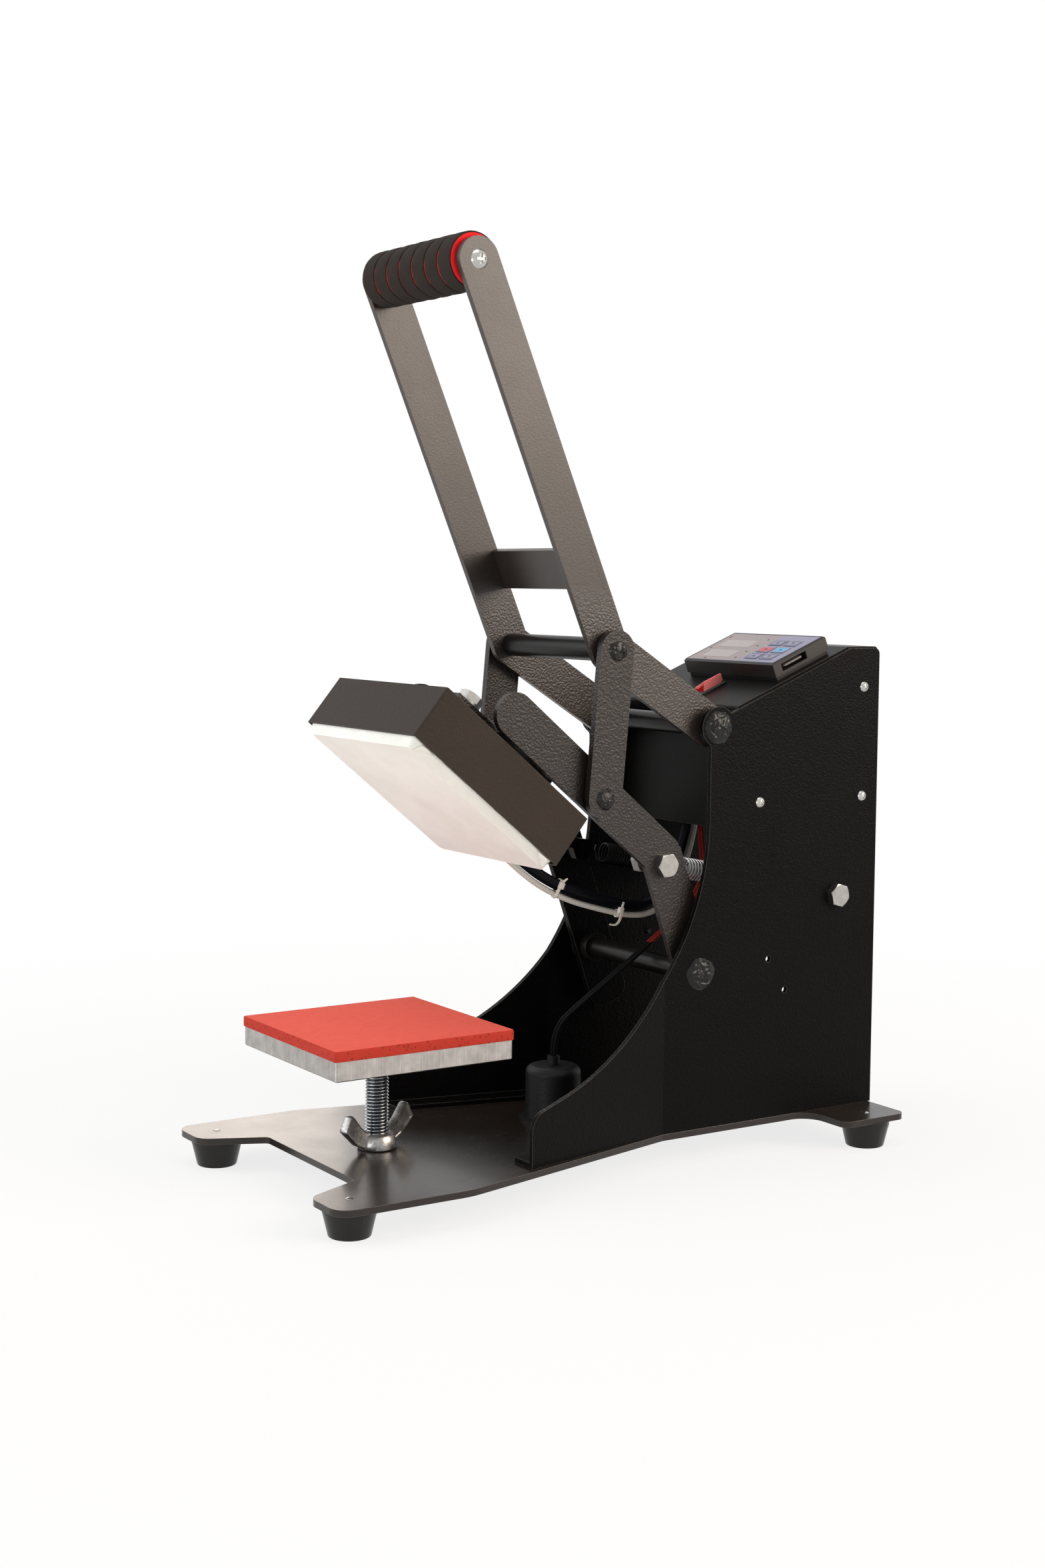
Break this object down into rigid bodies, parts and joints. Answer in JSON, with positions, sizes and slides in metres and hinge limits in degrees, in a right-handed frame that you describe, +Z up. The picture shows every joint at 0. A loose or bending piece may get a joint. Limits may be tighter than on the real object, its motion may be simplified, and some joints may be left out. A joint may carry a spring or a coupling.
{
  "type": "label heat press",
  "caption": "Small hinged heat press on a steel base: toggle lever with foam grip, tilting heater head with springs, silicone pad platen on a height screw, digital control box.",
  "frame": {"origin": "on the table under the middle of the base", "axes": "+Z up, -Y to the front where the user stands, +X to the user's right"},
  "size_m": [0.27, 0.526, 0.7015],
  "materials": {
    "deck": "satin black powder coat",
    "frame": "textured black powder coat",
    "zinc": "zinc plated",
    "raw": "sawn",
    "silicone": "sponge",
    "rubber": "matte",
    "foam": "matte foam",
    "foam_core": "matte foam",
    "cloth": "smooth",
    "abs": "fine grain",
    "overlay": "satin film",
    "key_red": "satin film",
    "key_blue": "satin film",
    "key_plain": "satin film",
    "switch_red": "glossy",
    "board": "board",
    "braid": "braided glass fibre",
    "sleeve": "silicone sleeve",
    "lead_red": "silicone",
    "nylon": "natural nylon",
    "pot": "potted"
  },
  "bodies": {
    "frame": {"base_plate": "deck", "rubber_feet": "rubber", "foot_screws": "zinc", "platen_base_nut": "zinc", "side_plate_right": "frame", "side_plate_left": "frame", "lever_pivot_rod": "zinc", "arm_pivot_rod": "zinc", "pivot_collars": "zinc", "control_cover": "frame", "cover_screws": "zinc", "controller_base": "abs", "controller_housing": "abs", "controller_overlay": "overlay", "rocker_bezel": "abs", "power_board": "board", "mains_inlet": "abs", "potted_transformer": "pot", "power_leads": "lead_red", "rear_spring_bolts": "zinc", "return_spring_right": "zinc", "return_spring_left": "zinc", "heater_lead": "braid", "heater_sleeve": "sleeve", "cable_ties": "nylon"},
    "lever": {"lever_arm_right": "deck", "lever_arm_left": "deck", "lever_tie_plate": "deck", "knee_rod": "zinc", "knee_spacers": "zinc", "grip_rod": "zinc", "grip_core": "foam_core", "grip_foam": "foam", "grip_screws": "zinc"},
    "links": {"link_right": "frame", "link_left": "frame"},
    "head": {"head_arm_right": "frame", "head_arm_left": "frame", "hanger_plate": "frame", "hanger_spacers": "zinc", "head_bolts": "zinc", "link_pins": "zinc", "arm_link_spacers": "frame", "arm_spring_bolts": "zinc", "head_cover": "deck", "heater_block": "raw", "heating_element": "zinc", "heater_cloth": "cloth", "lead_gland": "rubber"},
    "platen": {"silicone_pad": "silicone", "lower_platen": "raw", "platen_screw": "zinc"},
    "wing_nut": {"wing_nut": "zinc"},
    "rocker": {"rocker_switch": "switch_red"},
    "key_1": {"key_1": "key_plain"},
    "key_2": {"key_2": "key_plain"},
    "key_3": {"key_3": "key_red"},
    "key_4": {"key_4": "key_blue"},
    "key_5": {"key_5": "key_plain"},
    "key_6": {"key_6": "key_plain"}
  },
  "joints": [
    {"name": "lever_pull", "type": "hinge", "parent": "frame", "child": "lever", "pos_m": [0, 0.098, 0.3415], "axis": [1, 0, 0], "range_deg": [0, 73.9]},
    {"name": "head_close", "type": "hinge", "parent": "frame", "child": "head", "pos_m": [0, 0.0835, 0.1495], "axis": [1, 0, 0], "range_deg": [0, 39.7], "deforming": ["return_spring_right", "return_spring_left", "heater_lead", "heater_sleeve", "cable_ties"]},
    {"name": "link_swing", "type": "hinge", "parent": "head", "child": "links", "pos_m": [0, -0.00792, 0.29065], "axis": [1, 0, 0], "range_deg": [-88.01, 0]},
    {"name": "platen_height", "type": "slide", "parent": "frame", "child": "platen", "axis": [0, 0, 1], "range_m": [-0.006, 0.005]},
    {"name": "wing_nut_turn", "type": "hinge", "parent": "frame", "child": "wing_nut", "pos_m": [0, -0.1585, 0.0263], "axis": [0, 0, 1], "continuous": true},
    {"name": "rocker_tilt", "type": "hinge", "parent": "frame", "child": "rocker", "pos_m": [0.009, 0.144, 0.367], "axis": [1, 0, 0], "range_deg": [0, 22]},
    {"name": "key_1_press", "type": "slide", "parent": "frame", "child": "key_1", "axis": [0, 0.3746, -0.9272], "range_m": [0, 0.0005], "stiffness_N_per_m": 600},
    {"name": "key_2_press", "type": "slide", "parent": "frame", "child": "key_2", "axis": [0, 0.3746, -0.9272], "range_m": [0, 0.0005], "stiffness_N_per_m": 600},
    {"name": "key_3_press", "type": "slide", "parent": "frame", "child": "key_3", "axis": [0, 0.3746, -0.9272], "range_m": [0, 0.0005], "stiffness_N_per_m": 600},
    {"name": "key_4_press", "type": "slide", "parent": "frame", "child": "key_4", "axis": [0, 0.3746, -0.9272], "range_m": [0, 0.0005], "stiffness_N_per_m": 600},
    {"name": "key_5_press", "type": "slide", "parent": "frame", "child": "key_5", "axis": [0, 0.3746, -0.9272], "range_m": [0, 0.0005], "stiffness_N_per_m": 600},
    {"name": "key_6_press", "type": "slide", "parent": "frame", "child": "key_6", "axis": [0, 0.3746, -0.9272], "range_m": [0, 0.0005], "stiffness_N_per_m": 600}
  ],
  "couplings": [
    {"joint": "head_close", "follows": "lever_pull", "ratio": 0.53718},
    {"joint": "link_swing", "follows": "lever_pull", "ratio": -1.1909}
  ]
}
